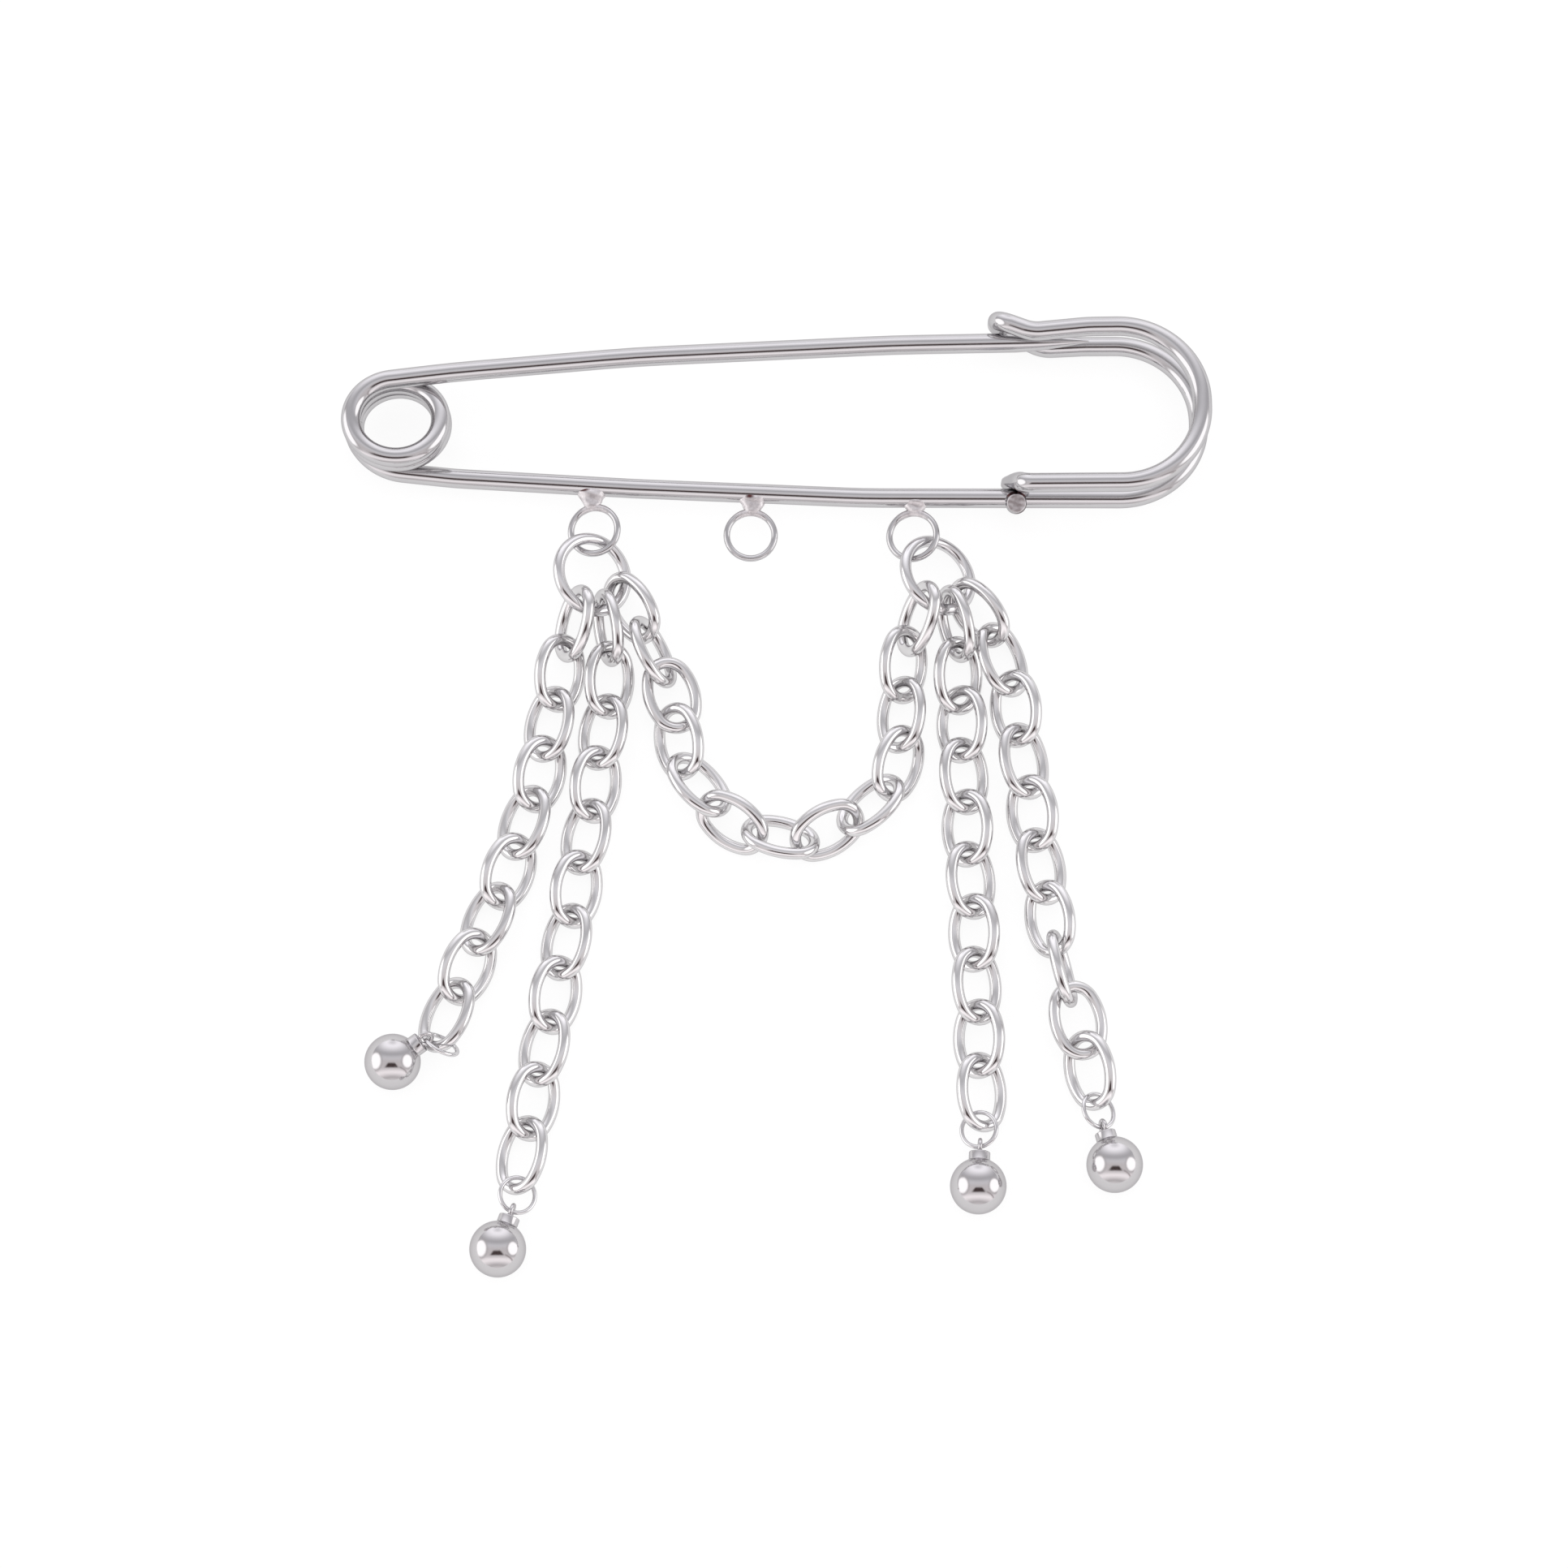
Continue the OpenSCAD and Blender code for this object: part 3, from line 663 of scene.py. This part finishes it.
for name, drop in DROPS.items():
    ring = Skin()
    line = circle((END_RING_D - FINE_WIRE) / 2, RING_POINTS)
    loop_of_wire(ring, drop["ring"], line, FINE_WIRE, FINE_SIDES)
    ring.piece("small_ring_" + name, RING_METAL, "pin_body", ["end_ring_" + name])

    x, y, heading, rise, roll = drop["ball"]
    row = (x, y, BALL_D / 2, heading, rise, roll)
    ball = Skin()
    a = np.linspace(0, 2 * math.pi, BALL_SIDES, endpoint=False)
    rings = [np.stack([0 * a + s, r * np.cos(a), r * np.sin(a)], 1) for s, r in ball_profile()]
    ball.rings(moved(lay(row), rings), False)
    eye = circle((EYE_D - FINE_WIRE) / 2, EYE_POINTS, EYE_REACH)
    loop_of_wire(ball, row, eye, FINE_WIRE, FINE_SIDES)
    ball.piece("drop_" + name, BALL_METAL, "pin_body", ["ball_" + name])


# ---- floor, light and camera
# Half the floor's width in metres, its colour and glow, and how rough and how shiny it is
FLOOR_HALF, FLOOR_COLOUR, FLOOR_GLOW = 4.0, (0.15, 0.15, 0.15, 1), 0.86
FLOOR_ROUGH, FLOOR_SHINE = 0.9, 0.1


def floor():
    mesh = bpy.data.meshes.new("floor")
    s = FLOOR_HALF
    mesh.from_pydata([(-s, -s, 0), (s, -s, 0), (s, s, 0), (-s, s, 0)], [], [(0, 1, 2, 3)])
    obj = bpy.data.objects.new("floor", mesh)
    bpy.context.scene.collection.objects.link(obj)
    mat = bpy.data.materials.new("floor_white")
    mat.use_nodes = True
    shader = mat.node_tree.nodes["Principled BSDF"]
    shader.inputs["Base Color"].default_value = FLOOR_COLOUR
    shader.inputs["Emission Color"].default_value = (1, 1, 1, 1)
    shader.inputs["Emission Strength"].default_value = FLOOR_GLOW
    shader.inputs["Roughness"].default_value = FLOOR_ROUGH
    shader.inputs["Specular IOR Level"].default_value = FLOOR_SHINE
    mesh.materials.append(mat)


# Surroundings. Angles are degrees: lift is toward the picture's top, side is round from overhead.
SKY_TILT, SKY_STRENGTH = -14, 1.6
# Grey bands: lift, brightness. Those under WARM_UNDER are a little warm, the others a little cool.
SKY_BANDS = [(-72, 0.9), (-60, 0.76), (-39, 1.42), (-24, 0.95), (3, 0.85), (19, 0.9), (38, 0.68),
             (70, 1.48), (86, 1.1)]
WARM_UNDER, WARM, COOL = 10, (1.0, 0.955, 0.965), (0.985, 0.975, 1.01)
# Soft boxes: which side, angle of the middle, half width, half height. Edges of a box and of its
# surround, as shares of the half sizes
SOFT_BOXES = [(1, 69, 24, 23), (-1, 72, 28, 27)]
BOX_LIFT, BOX_WHITE, BOX_EDGE = 4, (1.12, 1.11, 1.11), (1.1, 0.8)
SURROUND_GREY, SURROUND_SHARE, SURROUND_EDGE = (0.4, 0.385, 0.39), 0.6, (1.4, 1.15)
# Dark shape overhead: half width at lift 0, how much it narrows upward, rise and fall in lift, and
# its edge as shares of the half width
DARK_HALF, DARK_NARROWS, DARK_LIFT, DARK_EDGE = 14, 0.8, (-23, -16, -5, 4), (1.2, 0.75)
DARK_COLOUR = (0.05, 0.035, 0.035)
# Edge of a sheet at the lower right: slope, rise and fall across and along it
EDGE_SLOPE, EDGE_ACROSS, EDGE_ALONG = 0.43, (-8, -4, -2, 2), (30, 38, 84, 90)
EDGE_SHARE, EDGE_COLOUR = 0.7, (0.2, 0.17, 0.17)


def sky():
    """Studio surroundings: grey bands, soft boxes at both sides, a dark shape overhead."""
    world = bpy.data.worlds.new("studio")
    bpy.context.scene.world = world
    world.use_nodes = True
    tree = world.node_tree
    tree.nodes.clear()
    link = tree.links.new
    deg = math.radians
    out = node(tree, "ShaderNodeOutputWorld")
    back = node(tree, "ShaderNodeBackground", Strength=SKY_STRENGTH)
    link(back.outputs[0], out.inputs["Surface"])
    place = node(tree, "ShaderNodeTexCoord")
    tilt = node(tree, "ShaderNodeMapping", vector_type="VECTOR")
    tilt.inputs["Rotation"].default_value = (deg(SKY_TILT), 0, 0)
    link(place.outputs["Generated"], tilt.inputs["Vector"])
    part = node(tree, "ShaderNodeSeparateXYZ")
    link(tilt.outputs["Vector"], part.inputs[0])

    def math_node(operation, a, b=None):
        n = node(tree, "ShaderNodeMath", operation=operation)
        for k, v in enumerate((a, b)):
            if v is None:
                continue
            if isinstance(v, (int, float)):
                n.inputs[k].default_value = v
            else:
                link(v, n.inputs[k])
        return n.outputs[0]

    def step(value, low, high):
        n = node(tree, "ShaderNodeMapRange", interpolation_type="SMOOTHSTEP")
        n.inputs["From Min"].default_value = low
        n.inputs["From Max"].default_value = high
        link(value, n.inputs["Value"])
        return n.outputs["Result"]

    def window(value, a, b, c, d):
        """Rises from a to b and falls from c to d, in degrees."""
        return math_node("MULTIPLY", step(value, deg(a), deg(b)), step(value, deg(d), deg(c)))

    def mixed(factor, a, b):
        n = node(tree, "ShaderNodeMix", data_type="RGBA")
        link(factor, n.inputs["Factor"])
        for key, v in (("A", a), ("B", b)):
            if isinstance(v, tuple):
                n.inputs[key].default_value = (*v, 1)
            else:
                link(v, n.inputs[key])
        return n.outputs["Result"]

    x, y, z = part.outputs[0], part.outputs[1], part.outputs[2]
    side = math_node("ARCTAN2", math_node("ABSOLUTE", x), z)
    lift = math_node("ARCSINE", y)

    # Grey bands, from the picture's bottom to its top
    height = node(tree, "ShaderNodeMapRange")
    height.inputs["From Min"].default_value = deg(-90)
    height.inputs["From Max"].default_value = deg(90)
    link(lift, height.inputs["Value"])
    bands = node(tree, "ShaderNodeValToRGB")
    bands.color_ramp.interpolation = "CARDINAL"
    ramp = bands.color_ramp
    for at, value in SKY_BANDS:
        stop = ramp.elements.new((at + 90) / 180)
        tint = WARM if at < WARM_UNDER else COOL
        stop.color = (*[value * c / SKY_STRENGTH for c in tint], 1)
    ramp.elements.remove(ramp.elements[-1])
    ramp.elements.remove(ramp.elements[0])
    link(height.outputs["Result"], bands.inputs["Fac"])
    # Two soft boxes, each with a darker surround
    colour = bands.outputs["Color"]
    for turn_x, middle, half_side, half_lift in SOFT_BOXES:
        angle = math_node("ARCTAN2", math_node("MULTIPLY", x, float(turn_x)), z)
        across = math_node("SUBTRACT", angle, deg(middle))
        across = math_node("MULTIPLY", across, 1 / deg(half_side))
        along = math_node("SUBTRACT", lift, deg(BOX_LIFT))
        along = math_node("MULTIPLY", along, 1 / deg(half_lift))
        far = math_node("SQRT", math_node("ADD", math_node("MULTIPLY", across, across),
                                          math_node("MULTIPLY", along, along)))
        surround = math_node("MULTIPLY", step(far, *SURROUND_EDGE), SURROUND_SHARE)
        colour = mixed(surround, colour, SURROUND_GREY)
        colour = mixed(step(far, *BOX_EDGE), colour, BOX_WHITE)
    # A dark shape overhead, wider toward its foot
    half = math_node("SUBTRACT", deg(DARK_HALF), math_node("MULTIPLY", lift, DARK_NARROWS))
    spread = math_node("DIVIDE", side, half)
    dark = math_node("MULTIPLY", step(spread, *DARK_EDGE), window(lift, *DARK_LIFT))
    colour = mixed(dark, colour, DARK_COLOUR)
    # The edge of a sheet at the lower right
    turned = math_node("ARCTAN2", x, z)
    slant = math_node("ADD", lift, math_node("MULTIPLY", turned, EDGE_SLOPE))
    edge = math_node("MULTIPLY", window(slant, *EDGE_ACROSS), window(turned, *EDGE_ALONG))
    colour = mixed(math_node("MULTIPLY", edge, EDGE_SHARE), colour, EDGE_COLOUR)
    link(colour, back.inputs["Color"])


def lamp(name, place, aim, size, power):
    light = bpy.data.lights.new(name, "AREA")
    light.shape = "SQUARE"
    light.size = size
    light.energy = power
    obj = bpy.data.objects.new(name, light)
    bpy.context.scene.collection.objects.link(obj)
    obj.location = place
    obj.rotation_euler = (Vector(aim) - Vector(place)).to_track_quat("-Z", "Y").to_euler()
    obj.visible_glossy = False


def camera():
    cam = bpy.data.cameras.new("camera")
    cam.sensor_width = 36.0
    cam.lens = cam.sensor_width * PHOTO_FOCAL / PHOTO_WIDE
    cam.clip_start, cam.clip_end = 0.01, 20
    obj = bpy.data.objects.new("camera", cam)
    bpy.context.scene.collection.objects.link(obj)
    aim = Vector((CAMERA_AIM[0], CAMERA_AIM[1] - MID_Y, 0)) * MM
    e = math.radians(CAMERA_LIFT)
    obj.location = aim + Vector((0, -math.cos(e), math.sin(e))) * CAMERA_FAR
    obj.rotation_euler = (aim - obj.location).to_track_quat("-Z", "Y").to_euler()
    bpy.context.scene.camera = obj


floor()
sky()
lamp("overhead", place=(0.0, 0.05, 0.9), aim=(0, 0, 0), size=0.9, power=2.2)
camera()
bpy.context.scene.view_settings.view_transform = "Standard"
